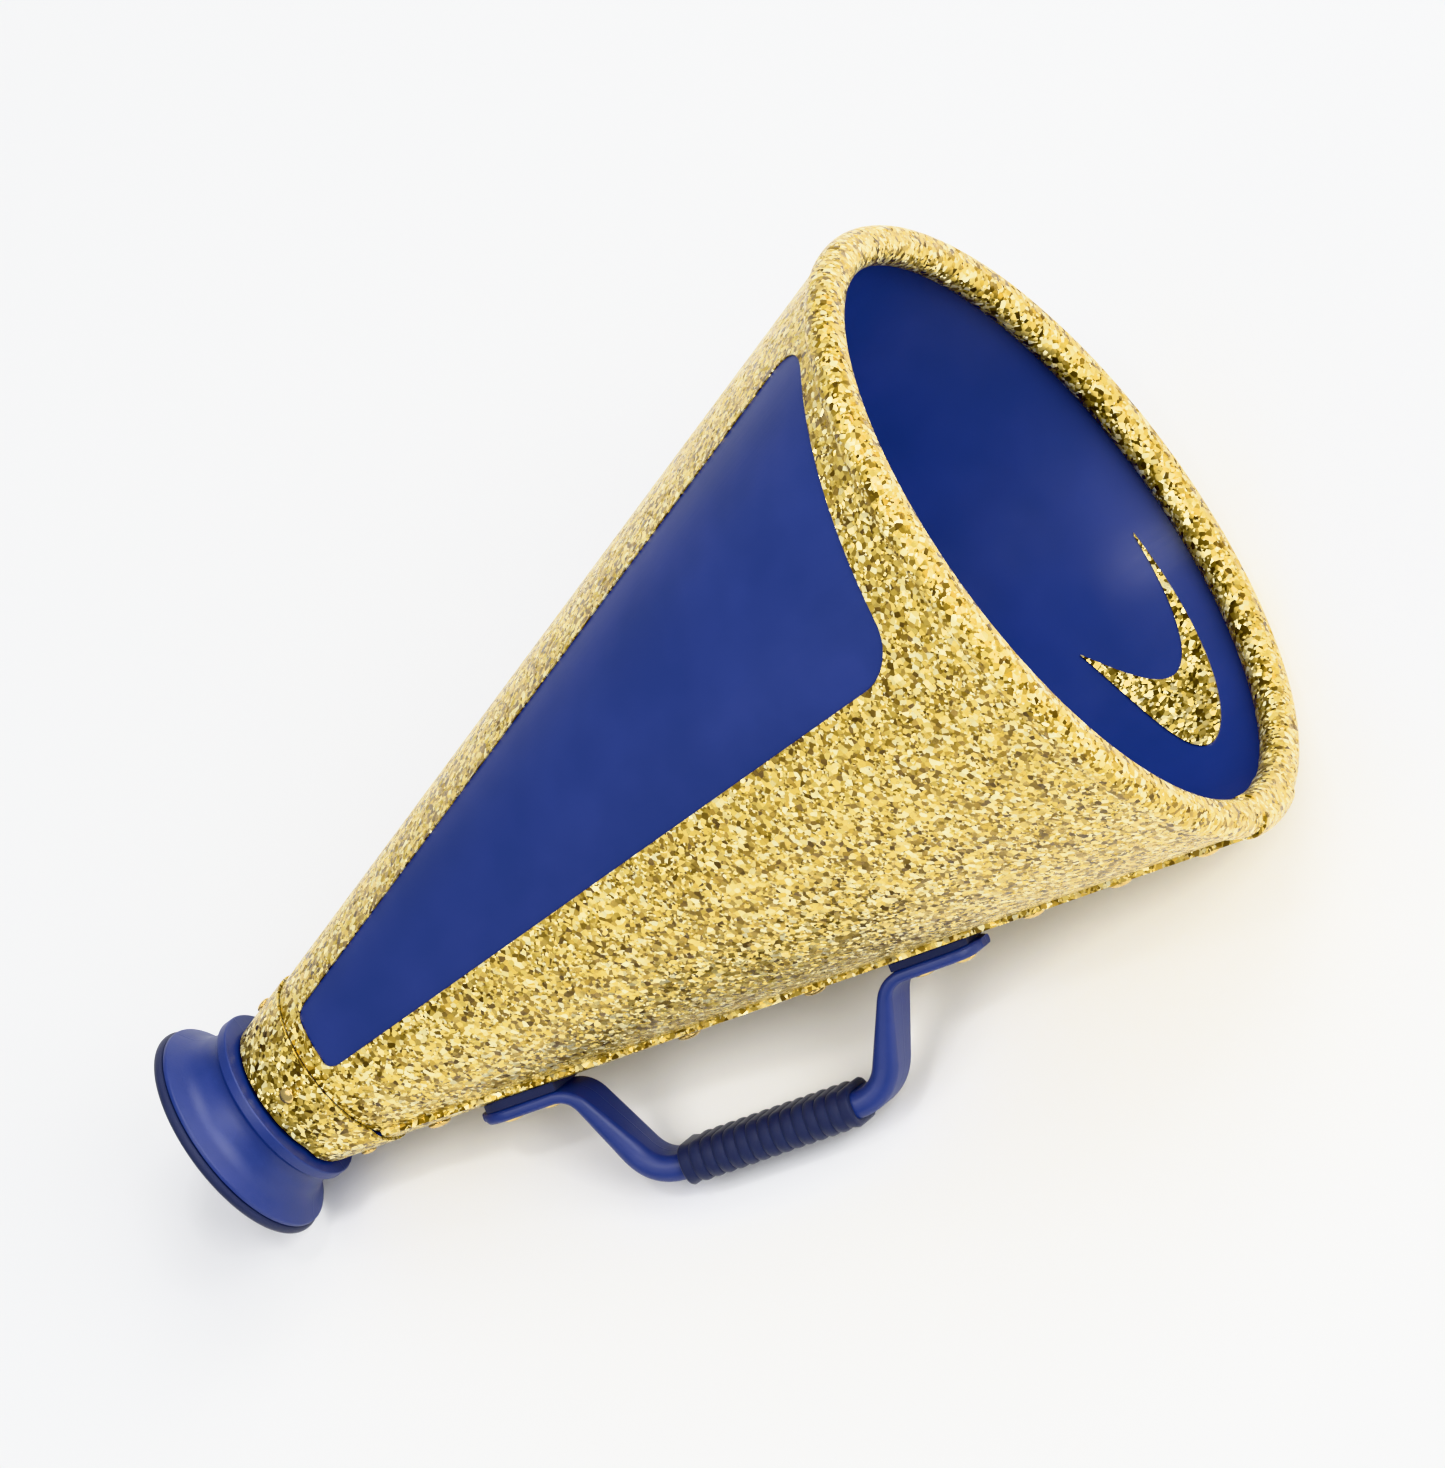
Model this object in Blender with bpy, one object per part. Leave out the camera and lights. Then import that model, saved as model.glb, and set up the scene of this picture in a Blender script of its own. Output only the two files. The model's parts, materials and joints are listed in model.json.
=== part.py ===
"""A cheer megaphone: a cone rolled from plastic sheet and riveted along a lap seam, with a bead round the bell,
a moulded mouthpiece in a collar, a riveted bow handle, and glitter vinyl round the outside.

Every piece is modelled in the megaphone's own axes. Z runs from the bell to the mouthpiece, with 0 at the middle
of the bell's bead, and the seam and the handle are at +X. A point on the sheet is given by its height z, its angle
from +X towards +Y, and its lift, which is how far it stands off the outside of the sheet's first turn.
The empty resting_pose then lays the whole thing on its side, as it lies on a floor: on the bead, the lip ring
and the handle. Lengths are in metres.
"""

import math

import bmesh
import bpy
from mathutils import Matrix, Vector
from mathutils.geometry import interpolate_bezier

# The cone and its lap seam
BELL_RADIUS = 0.130  # outside of the bead
BEAD_RADIUS = 0.0072  # of the bead's round section
BEAD_FLAT = 0.0068  # from z = 0 forward to the flat that it stands on
BEAD_LIP = 0.0048  # from z = 0 back to the edge of the lip over the sheet
SLEEVE_PROUD = 0.0012  # how far the bead's joint sleeve stands out of the bead
HALF_ANGLE = math.radians(15.4)
CONE_RADIUS = 0.1279  # outside of the sheet at z = 0
CONE_FRONT, CONE_BACK = -0.0002, 0.370
SHEET = 0.0018
GAP = 0.0003  # between pieces that touch
LAP_HALF = 0.014  # half the width of the overlap
LAP_STEP = 0.008  # the length over which the sheet steps out over itself
LAP_LIFT = SHEET + GAP
SHEET_BANDS = 7

# The glitter vinyl, with a window left open on each side
VINYL = 0.00035
VINYL_LIFT = GAP
VINYL_FRONT, VINYL_BACK = 0.0052, 0.3436
WINDOW_LOW, WINDOW_HIGH = 87.0, 150.0  # angles of its two long sides at the bell, in degrees
WINDOW_CREST, WINDOW_DROP = 173.6, 0.0105  # its high side stays this deep below the line along the cone at the crest
WINDOW_FRONT_LOW, WINDOW_FRONT_HIGH = 0.0307, 0.0077  # its front edge at those sides
WINDOW_BACK = 0.336
WINDOW_FILLET = 8.5  # the corners' radius, in degrees round the cone
VINYL_BANDS = 5  # rows of faces beside a window

# The vinyl crescents inside the bell: a curve along the outer and the inner side of one, each as the (angle in
# degrees, z) of its start, two handles and end
CRESCENT_OUTER = ((81.4, 0.0209), (30.0, 0.0130), (19.0, 0.0270), (67.4, 0.0590))
CRESCENT_INNER = ((80.8, 0.0213), (50.0, 0.0224), (47.0, 0.0310), (67.0, 0.0584))
CRESCENT_STEPS = 14  # faces along one
CRESCENT_BANDS = 4  # and across it, round the wall

# The mouthpiece end
COLLAR_FRONT, COLLAR_BACK = 0.344, 0.369
COLLAR = 0.0015
COLLAR_RAMP = 0.006
NECK_WALL = 0.0026
THROAT_RADIUS = 0.0205
CUP_RADIUS = 0.0425
CUP_BACK = 0.394
LIP_RADIUS = 0.0435
LIP_ROUND = 0.0021  # radius of the ring's rounded sides, so half its thickness

# The handle, along the cone at +X: q runs back from its front end, n stands off the sheet
HANDLE_START = 0.112
FOOT_LENGTH, BOW_LENGTH, BOW_HEIGHT = 0.038, 0.206, 0.047
RISER_RUN = 0.018
FOOT_THICK, GRIP_THICK = 0.0045, 0.010
FOOT_WIDTH, GRIP_WIDTH = 0.026, 0.022
SADDLE = 0.0018  # thickness along its middle
SLEEVE_WALL = 0.0025
SLEEVE_START, SLEEVE_END = 0.068, 0.138

# Rivets: head radius, head height, shank radius, tail radius
SEAM_RIVET = (0.0044, 0.0019, 0.0020, 0.0034)
COLLAR_RIVET = (0.0030, 0.0013, 0.0016, 0.0025)
HOLE_SLACK = 0.0004
WASHER_RADIUS, WASHER = 0.0047, 0.0008
PLATE_LENGTH, PLATE_WIDTH, PLATE = 0.032, 0.012, 0.0012
SEAM_RIVET_Z = (0.024, 0.058, 0.092, 0.178, 0.228, 0.328)
HANDLE_RIVET_Q = (0.010, 0.0265, 0.1795, 0.196)
COLLAR_RIVET_Z = 0.357
COLLAR_RIVET_ANGLES = (0, 90, 180, 270)

ROUND_STEPS = 72  # faces round the bell
SMALL_STEPS = 40  # round the mouthpiece
RIVET_STEPS = 10

FINISHES = {  # colour, roughness, metallic
    "royal_blue_plastic": ((0.025, 0.045, 0.220), 0.38, 0.0),
    "blue_rubber": ((0.018, 0.032, 0.150), 0.80, 0.0),
    "gold_glitter": ((0.670, 0.515, 0.153), 0.45, 0.6),
    "brass": ((0.780, 0.570, 0.220), 0.28, 1.0),
}

SLOPE = math.tan(HALF_ANGLE)
ALONG = Vector((-math.sin(HALF_ANGLE), 0, math.cos(HALF_ANGLE)))  # down the cone at +X
OUTWARD = Vector((math.cos(HALF_ANGLE), 0, math.sin(HALF_ANGLE)))
RING_RADIUS = BELL_RADIUS - BEAD_RADIUS  # middle of the bead
VINYL_TOP = LAP_LIFT + VINYL_LIFT + VINYL  # outside of the vinyl, over the lap
FOOT_BOTTOM = VINYL_TOP + GAP + SADDLE + GAP


# ---- Scene, materials and objects ----

def clear_scene():
    for obj in list(bpy.data.objects):
        bpy.data.objects.remove(obj)


def material(finish):
    """The Principled material of that finish, made the first time that it is asked for."""
    made = bpy.data.materials.get(finish)
    if made is None:
        colour, roughness, metallic = FINISHES[finish]
        made = bpy.data.materials.new(finish)
        made.use_nodes = True
        shader = made.node_tree.nodes["Principled BSDF"]
        shader.inputs["Base Color"].default_value = (*colour, 1)
        shader.inputs["Roughness"].default_value = roughness
        shader.inputs["Metallic"].default_value = metallic
    return made


def mesh_from(bm, name):
    """A smooth-shaded mesh of bm, with its folds kept sharp."""
    mesh = bpy.data.meshes.new(name)
    bm.to_mesh(mesh)
    bm.free()
    mesh.shade_smooth()
    mesh.set_sharp_from_angle(angle=math.radians(32))
    return mesh


def add_piece(pose, name, mesh, finish, place=None):
    obj = bpy.data.objects.new(name, mesh)
    if not mesh.materials:
        mesh.materials.append(material(finish))
    bpy.context.scene.collection.objects.link(obj)
    obj.parent = pose
    obj.matrix_local = place or Matrix.Identity(4)
    return obj


def cut(obj, cutter):
    """Cuts the holes of the cutter in obj."""
    holes = obj.modifiers.new("holes", "BOOLEAN")
    holes.operation = "DIFFERENCE"
    holes.solver = "EXACT"
    holes.object = cutter


# ---- Shapes ----

def thick_grid(outer, inner, solid=None, ring=False):
    """A closed shell between two grids of points, each given as columns of rows. A cell (column, row) that solid
    refuses is left open, and a ring's last column meets its first."""
    count, rows = len(outer), len(outer[0])
    bm = bmesh.new()
    sheets = [[[bm.verts.new(p) for p in column] for column in grid] for grid in (outer, inner)]
    cells = [(c, r) for c in range(count if ring else count - 1) for r in range(rows - 1)]
    cells = [cell for cell in cells if solid is None or solid(*cell)]
    filled = set(cells)
    for c, r in cells:
        right, left = (c + 1) % count, (c - 1) % count if ring else c - 1
        corners = ((c, r), (right, r), (right, r + 1), (c, r + 1))
        beyond = ((c, r - 1), ((c + 1) % count if ring else c + 1, r), (c, r + 1), (left, r))
        top, bottom = ([sheet[i][j] for i, j in corners] for sheet in sheets)
        bm.faces.new(top)
        bm.faces.new(bottom[::-1])
        for k in range(4):
            if beyond[k] not in filled:
                a, b = k, (k + 1) % 4
                bm.faces.new((top[b], top[a], bottom[a], bottom[b]))
    bmesh.ops.delete(bm, geom=[v for v in bm.verts if not v.link_faces], context="VERTS")
    return bm


def loft(sections):
    """A solid through loops of points, with its two ends capped."""
    bm = bmesh.new()
    loops = [[bm.verts.new(p) for p in section] for section in sections]
    for first, second in zip(loops, loops[1:]):
        for k in range(len(first)):
            n = (k + 1) % len(first)
            bm.faces.new((first[k], first[n], second[n], second[k]))
    bm.faces.new(loops[0][::-1])
    bm.faces.new(loops[-1])
    bmesh.ops.recalc_face_normals(bm, faces=bm.faces)
    return bm


def revolve(profile, steps=ROUND_STEPS, start=0.0, turn=math.tau, on_axis=False):
    """Spins a profile of (radius, z) points round Z. It is a closed section, or with on_axis a line that begins
    and ends on the axis."""
    bm = bmesh.new()
    verts = [bm.verts.new((r * math.cos(start), r * math.sin(start), z)) for r, z in profile]
    closing = [] if on_axis else [(verts[-1], verts[0])]
    geom = [bm.edges.new(pair) for pair in [*zip(verts, verts[1:]), *closing]]
    whole = turn == math.tau
    if not whole:
        geom.append(bm.faces.new(verts))
    bmesh.ops.spin(bm, geom=verts + geom, cent=(0, 0, 0), axis=(0, 0, 1), angle=turn, steps=steps, use_merge=whole)
    if on_axis:
        bmesh.ops.remove_doubles(bm, verts=bm.verts, dist=1e-6)
    bmesh.ops.recalc_face_normals(bm, faces=bm.faces)
    return bm


def arc(centre, radius, first, last, steps):
    """Points on an arc about centre, between two angles in degrees."""
    angles = [math.radians(first + (last - first) * k / steps) for k in range(steps + 1)]
    return [(centre[0] + radius * math.cos(a), centre[1] + radius * math.sin(a)) for a in angles]


# ---- The cone's surface ----

def cone_radius(z, lift=0.0):
    return CONE_RADIUS - z * SLOPE + lift / math.cos(HALF_ANGLE)


def on_cone(angle, z, lift):
    r = cone_radius(z, lift)
    return Vector((r * math.cos(angle), r * math.sin(angle), z))


def heights(front, back, bands):
    """Heights from front to back, closer together in step with the cone's radius."""
    first, last = cone_radius(front), cone_radius(back)
    return [(CONE_RADIUS - first * (last / first) ** (k / bands)) / SLOPE for k in range(bands + 1)]


def fillet_rise(share):
    """How far a window's corner has drawn in, from 1 at its side to 0, at a share of the way across the window."""
    x = min(1.0, min(share, 1 - share) * (WINDOW_HIGH - WINDOW_LOW) / WINDOW_FILLET)
    return 1 - math.sqrt(1 - (1 - x) ** 2)


def window_rows(low_share):
    """The window's front and back edge (z), low_share of the way from its high side to its low side."""
    front = WINDOW_FRONT_HIGH + (WINDOW_FRONT_LOW - WINDOW_FRONT_HIGH) * low_share
    back, corner = WINDOW_BACK, math.radians(WINDOW_FILLET) * fillet_rise(low_share)
    return front + corner * cone_radius(front), back - corner * cone_radius(back)


def window_lean(z):
    """How far round the surface the window's high side has moved at z, from where it is at the bell."""
    high = WINDOW_CREST - math.degrees(math.acos(1 - WINDOW_DROP / cone_radius(z)))
    return math.radians(high - WINDOW_HIGH) * cone_radius(z)


def window_shares():
    """Where the columns of faces stand across a window, closer together round its corners."""
    corner = WINDOW_FILLET / (WINDOW_HIGH - WINDOW_LOW)
    side = [corner * (1 - math.cos(math.radians(a))) for a in (0, 25, 50, 75, 90)]
    middle = [corner + (1 - 2 * corner) * k / 8 for k in range(1, 8)]
    return side + middle + [1 - s for s in side[::-1]]


def even_shares(steps):
    return [k / steps for k in range(steps + 1)]


def sheet_stations():
    """The sheet's columns, from its inner edge round to its outer edge. Each is (angle, shift, lift, lean, rows,
    open): shift is a distance along the surface, lean the share of the window's lean that a column on the vinyl
    takes, rows the edges of the window beside it, and open if the window is next."""
    low, high = window_rows(1.0), window_rows(0.0)
    inner_edge, lap_end = (0, -LAP_HALF, 0, 0), (0, LAP_HALF, 0, 0)
    step_start, step_end = (360, -LAP_HALF - LAP_STEP, 0, 0), (360, -LAP_HALF, LAP_LIFT, 0)
    near, far = (WINDOW_LOW, 0, 0, 0), (WINDOW_HIGH, 0, 0, 1)
    far_mirrored, near_mirrored = (360 - WINDOW_HIGH, 0, 0, -1), (360 - WINDOW_LOW, 0, 0, 0)
    outer_edge = (360, LAP_HALF, LAP_LIFT, 0)
    stretches = (
        (inner_edge, lap_end, even_shares(6), None),
        (lap_end, near, even_shares(16), None),
        (near, far, window_shares(), lambda s: window_rows(1 - s)),
        (far, far_mirrored, even_shares(12), None),
        (far_mirrored, near_mirrored, window_shares(), window_rows),
        (near_mirrored, step_start, even_shares(15), None),
        (step_start, step_end, even_shares(2), None),
        (step_end, outer_edge, even_shares(6), None),
    )
    stations = []
    for start, end, shares, edges in stretches:
        for share in shares[:-1]:
            angle, shift, lift, lean = (a + (b - a) * share for a, b in zip(start, end))
            outside = high if WINDOW_HIGH <= angle < 360 - WINDOW_HIGH else low
            rows = edges(share) if edges else outside
            stations.append((math.radians(angle), shift, lift, lean, rows, edges is not None))
    stations.append((math.tau, LAP_HALF, LAP_LIFT, 0, low, False))
    return stations


def station_point(station, z, lift, slide=0.0):
    """The point at height z on a column of the sheet, lift off it, and slid along the surface."""
    angle, shift, raised = station[:3]
    return on_cone(angle + (shift + slide) / cone_radius(z), z, raised + lift)


def seat(z, lift, angle=0.0):
    """Where a piece stands on the cone: its own Z points straight out of the surface."""
    turn = Matrix.Rotation(math.radians(angle), 4, "Z")
    foot = Matrix.Translation(on_cone(0, z, 0) + OUTWARD * lift)
    return turn @ foot @ OUTWARD.to_track_quat("Z", "Y").to_matrix().to_4x4()


# ---- The cone, its bead and its vinyl ----

def add_cone_shell(pose):
    rows = heights(CONE_FRONT, CONE_BACK, SHEET_BANDS)
    outer, inner = ([[station_point(s, z, lift) for z in rows] for s in sheet_stations()] for lift in (0, -SHEET))
    return add_piece(pose, "cone_shell", mesh_from(thick_grid(outer, inner), "cone_shell"), "royal_blue_plastic")


def bead_section(middle, radius, cover):
    """A round section (radius, z) with a flat front, and a slot that holds the sheet's edge under a lip.
    cover is the lift of the highest layer that the slot takes in."""
    slot_front = CONE_FRONT - GAP
    lip_angle = math.degrees(math.asin(BEAD_LIP / radius))
    round_part = arc((middle, 0), radius, lip_angle, -180, 9) + arc((middle, 0), radius, 180, 106, 3)[1:]
    inner_back = round_part[-1][1]
    under = [(cone_radius(z, -SHEET - GAP), z) for z in (inner_back, slot_front)]
    over = [(cone_radius(z, cover + GAP), z) for z in (slot_front, BEAD_LIP)]
    return [(r, max(z, -BEAD_FLAT)) for r, z in round_part] + under + over


def add_bead(pose):
    """The bead stops short of the lap, and a sleeve covers its two ends."""
    clearance = 0.0015
    first = (LAP_HALF + clearance) / CONE_RADIUS
    last = (LAP_HALF + LAP_STEP + clearance) / CONE_RADIUS
    joint = GAP / CONE_RADIUS
    section = bead_section(RING_RADIUS, BEAD_RADIUS, 0)
    bead = revolve(section, ROUND_STEPS - 3, first, math.tau - first - last)
    add_piece(pose, "bell_bead", mesh_from(bead, "bell_bead"), "gold_glitter")
    wide = bead_section(RING_RADIUS + SLEEVE_PROUD / 4, BEAD_RADIUS + SLEEVE_PROUD * 3 / 4, LAP_LIFT)
    sleeve = revolve(wide, 4, -last + joint, first + last - 2 * joint)
    add_piece(pose, "bead_joint_sleeve", mesh_from(sleeve, "bead_joint_sleeve"), "gold_glitter")


def add_vinyl(pose):
    """The wrap starts beside the sheet's outer edge, goes all the way round, and ends on top of that edge."""
    margin = 0.0005
    stations = [s for s in sheet_stations() if not (s[0] == 0 and s[1] < LAP_HALF)]

    def column(k, lift):
        station = stations[k]
        lean, window = station[3:5]
        slide = margin if k == 0 else -margin if k == len(stations) - 1 else 0
        rows = [VINYL_FRONT, *heights(*window, VINYL_BANDS), VINYL_BACK]
        return [station_point(station, z, lift, slide + lean * window_lean(z)) for z in rows]

    def solid(column_index, row):
        return not stations[column_index][5] or row in (0, VINYL_BANDS + 1)

    outer, inner = ([column(k, lift) for k in range(len(stations))] for lift in (VINYL_LIFT + VINYL, VINYL_LIFT))
    wrap = thick_grid(outer, inner, solid)
    return add_piece(pose, "glitter_wrap", mesh_from(wrap, "glitter_wrap"), "gold_glitter")


def add_crescents(pose):
    """A boomerang of vinyl on the inner wall on each side of the handle, with one arm along the bell's edge."""
    near, far = -SHEET - GAP, -SHEET - GAP - VINYL
    edges = [interpolate_bezier(*(Vector(p) for p in curve), CRESCENT_STEPS)
             for curve in (CRESCENT_OUTER, CRESCENT_INNER)]
    lines = [[a.lerp(b, share) for a, b in zip(*edges)] for share in even_shares(CRESCENT_BANDS)]
    for side, sign in (("left", 1), ("right", -1)):
        outer, inner = (
            [[on_cone(sign * math.radians(angle), z, lift) for angle, z in line] for line in lines]
            for lift in (near, far)
        )
        name = f"glitter_crescent_{side}"
        shell = thick_grid(outer, inner)
        bmesh.ops.triangulate(shell, faces=shell.faces)
        bmesh.ops.recalc_face_normals(shell, faces=shell.faces)
        add_piece(pose, name, mesh_from(shell, name), "gold_glitter")


# ---- The mouthpiece end ----

def add_collar(pose):
    """A band over the small end. It steps out over the lap, as the sheet does."""
    lap_top = LAP_LIFT + GAP
    corners = (
        (0, LAP_HALF + 0.001, lap_top, 1),
        (0, LAP_HALF + 0.001 + COLLAR_RAMP, GAP, 38),
        (360, -LAP_HALF - LAP_STEP - 0.001, GAP, 2),
        (360, -LAP_HALF - 0.001, lap_top, 7),
        (360, LAP_HALF + 0.001, lap_top, 0),
    )
    columns = []
    for start, end in zip(corners, corners[1:]):
        for k in range(start[3]):
            angle, shift, lift = (a + (b - a) * k / start[3] for a, b in zip(start[:3], end[:3]))
            columns.append((math.radians(angle), shift, lift))
    outer, inner = (
        [[station_point(c, z, lift) for z in (COLLAR_FRONT, COLLAR_BACK)] for c in columns] for lift in (COLLAR, 0)
    )
    band = thick_grid(outer, inner, ring=True)
    return add_piece(pose, "throat_collar", mesh_from(band, "throat_collar"), "gold_glitter")


def add_mouthpiece(pose):
    """A neck inside the sheet's small end, a shoulder behind it, and a cup that flares to the lip."""
    neck_front, shoulder = COLLAR_FRONT + 0.001, CONE_BACK + 0.0004
    neck = [(cone_radius(z, -SHEET - GAP), z) for z in (neck_front, shoulder)]
    outside = [(0.0335, shoulder), (0.0345, shoulder + 0.0010), (0.0345, shoulder + 0.0032),
               (0.0330, shoulder + 0.0045), (0.0325, 0.3785), (0.0338, 0.3835), (0.0365, 0.3880),
               (0.0400, 0.3915), (CUP_RADIUS, 0.3932)]
    rim = [(CUP_RADIUS, CUP_BACK), (CUP_RADIUS - 0.0035, CUP_BACK)]
    inside = [(0.0350, 0.3912), (0.0315, 0.3872), (0.0285, 0.3826), (0.0250, 0.3782),
              (THROAT_RADIUS + 0.0012, 0.3745), (THROAT_RADIUS, shoulder)]
    bore = [(cone_radius(z, -SHEET - GAP - NECK_WALL), z) for z in (CONE_BACK - 0.004, neck_front)]
    body = revolve(neck + outside + rim + inside + bore, SMALL_STEPS)
    return add_piece(pose, "mouthpiece", mesh_from(body, "mouthpiece"), "royal_blue_plastic")


def add_lip_ring(pose):
    """A rubber ring on the cup's rim, rounded on both sides."""
    middle = CUP_BACK + GAP + LIP_ROUND
    outer = arc((LIP_RADIUS - LIP_ROUND, middle), LIP_ROUND, -90, 90, 6)
    inner = arc((CUP_RADIUS - 0.0050 + LIP_ROUND, middle), LIP_ROUND, 90, 270, 6)
    ring = revolve(outer + inner, SMALL_STEPS)
    add_piece(pose, "lip_ring", mesh_from(ring, "lip_ring"), "blue_rubber")


# ---- The handle ----

def handle_point(q, y, n):
    """A point on the handle: q along the cone from the handle's front end, y across it, n off the sheet."""
    return on_cone(0, HANDLE_START, 0) + ALONG * q + OUTWARD * n + Vector((0, y, 0))


def rounded_path(points, radii, steps):
    """The line through points in a plane with its corners rounded, as (point, direction) pairs."""
    points = [Vector(p) for p in points]
    path = [(points[0], (points[1] - points[0]).normalized())]
    for before, corner, after, radius in zip(points, points[1:], points[2:], radii):
        way_in, way_out = (corner - before).normalized(), (after - corner).normalized()
        bend = way_in.angle_signed(way_out)
        reach = radius * math.tan(abs(bend) / 2)
        side = Vector((way_in.y, -way_in.x)) * math.copysign(1, bend)
        centre = corner - way_in * reach + side * radius
        for k in range(steps + 1):
            turned = Matrix.Rotation(-bend * k / steps, 2)
            path.append((centre - turned @ side * radius, turned @ way_in))
    path.append((points[-1], (points[-1] - points[-2]).normalized()))
    return path


def bow_path():
    middle, top = FOOT_BOTTOM + FOOT_THICK / 2, BOW_HEIGHT
    corners = ((0, middle), (FOOT_LENGTH, middle), (FOOT_LENGTH + RISER_RUN, top),
               (BOW_LENGTH - FOOT_LENGTH - RISER_RUN, top), (BOW_LENGTH - FOOT_LENGTH, middle), (BOW_LENGTH, middle))
    return rounded_path(corners, (0.010, 0.016, 0.016, 0.010), 4)


def rounded_rectangle(width, height, radius):
    """Points round a rectangle about the origin with round corners."""
    points = []
    for sx, sy, first in ((1, 1, 0), (-1, 1, 90), (-1, -1, 180), (1, -1, 270)):
        centre = (sx * (width / 2 - radius), sy * (height / 2 - radius))
        points += arc(centre, radius, first, first + 90, 3)
    return points


def bow_section(point, direction, width, thick, radius):
    """A rounded rectangle across the bow where it passes point, which is (q, n)."""
    across = Vector((-direction.y, direction.x))
    section = []
    for y, h in rounded_rectangle(width, thick, radius):
        q, n = point + across * h
        section.append(handle_point(q, y, n))
    return section


def add_handle(pose):
    """The bow: a foot at each end with a rounded tip, and a thicker, narrower grip between the risers."""
    path = bow_path()
    tips = ((0.0, 0.45), (0.0015, 0.66), (0.005, 0.88), (0.010, 1.0))
    foot_middle = path[0][0].y
    sections = []

    def foot_sections(start, direction):
        for reach, share in tips[::direction]:
            point = Vector((start + direction * reach, foot_middle))
            sections.append(bow_section(point, Vector((1, 0)), FOOT_WIDTH * share, FOOT_THICK, 0.0015))

    foot_sections(0, 1)
    for point, direction in path[1:-1]:
        rise = min(1.0, 1.6 * (point.y - foot_middle) / (BOW_HEIGHT - foot_middle))
        width = FOOT_WIDTH + (GRIP_WIDTH - FOOT_WIDTH) * rise
        thick = FOOT_THICK + (GRIP_THICK - FOOT_THICK) * rise
        sections.append(bow_section(point, direction, width, thick, 0.0015 + 0.0025 * rise))
    foot_sections(BOW_LENGTH, -1)
    return add_piece(pose, "handle_bow", mesh_from(loft(sections), "handle_bow"), "royal_blue_plastic")


def add_grip_sleeve(pose):
    """A soft tube round the straight of the grip."""
    slack, wall = 2 * GAP, 2 * GAP + 2 * SLEEVE_WALL
    outer, inner = (
        [bow_section(Vector((q, BOW_HEIGHT)), Vector((1, 0)), GRIP_WIDTH + more, GRIP_THICK + more, 0.0040 + more / 2)
         for q in (SLEEVE_START, SLEEVE_END)]
        for more in (wall, slack)
    )
    columns = [[list(column) for column in zip(*rows)] for rows in (outer, inner)]
    tube = thick_grid(*columns, ring=True)
    bmesh.ops.recalc_face_normals(tube, faces=tube.faces)
    return add_piece(pose, "grip_sleeve", mesh_from(tube, "grip_sleeve"), "blue_rubber")


def add_saddles(pose, holes):
    """A rubber saddle under each foot: flat on top, and hollowed below to sit on the round of the cone."""
    width, length, inset = FOOT_WIDTH - 0.001, FOOT_LENGTH - 0.008, 0.004

    def hollow(q, y):
        r = (on_cone(0, HANDLE_START, VINYL_TOP) + ALONG * q).x
        return VINYL_TOP + GAP - (r - math.sqrt(r * r - y * y)) * math.cos(HALF_ANGLE)

    for side, start in (("front", inset), ("rear", BOW_LENGTH - inset - length)):
        across = [width * (share - 0.5) for share in even_shares(8)]
        along = (start, start + length)
        top = [[handle_point(q, y, FOOT_BOTTOM - GAP) for q in along] for y in across]
        bottom = [[handle_point(q, y, hollow(q, y)) for q in along] for y in across]
        name = f"saddle_{side}"
        cut(add_piece(pose, name, mesh_from(thick_grid(top, bottom), name), "blue_rubber"), holes)


def plate_top():
    """The n of a flat backing plate's top, clear of the hollow of the cone."""
    smallest = cone_radius(HANDLE_START + BOW_LENGTH, -SHEET)
    return -SHEET - GAP - (PLATE_WIDTH / 2) ** 2 / (2 * smallest)


def add_backing_plates(pose, holes):
    """A metal strip inside the cone behind each foot, for the rivets' tails to clench on."""
    top = plate_top()
    for side, first, second in (("front", *HANDLE_RIVET_Q[:2]), ("rear", *HANDLE_RIVET_Q[2:])):
        middle = (first + second) / 2
        outline = rounded_rectangle(PLATE_LENGTH, PLATE_WIDTH, 0.003)
        loops = [[handle_point(middle + q, y, n) for q, y in outline] for n in (top - PLATE, top)]
        name = f"backing_plate_{side}"
        cut(add_piece(pose, name, mesh_from(loft(loops), name), "brass"), holes)


# ---- Rivets ----

def rivet_mesh(name, size, grip):
    """A domed rivet that stands on z = 0 and clamps what lies in the grip below it. Its tail is peened flat."""
    head, height, shank, tail = size
    profile = [(0, height), (head * 0.50, height * 0.88), (head * 0.86, height * 0.45), (head, 0), (shank, 0),
               (shank, -grip), (tail, -grip), (tail * 0.8, -grip - 0.0008), (0, -grip - 0.0011)]
    return mesh_from(revolve(profile, RIVET_STEPS, on_axis=True), name)


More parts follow.
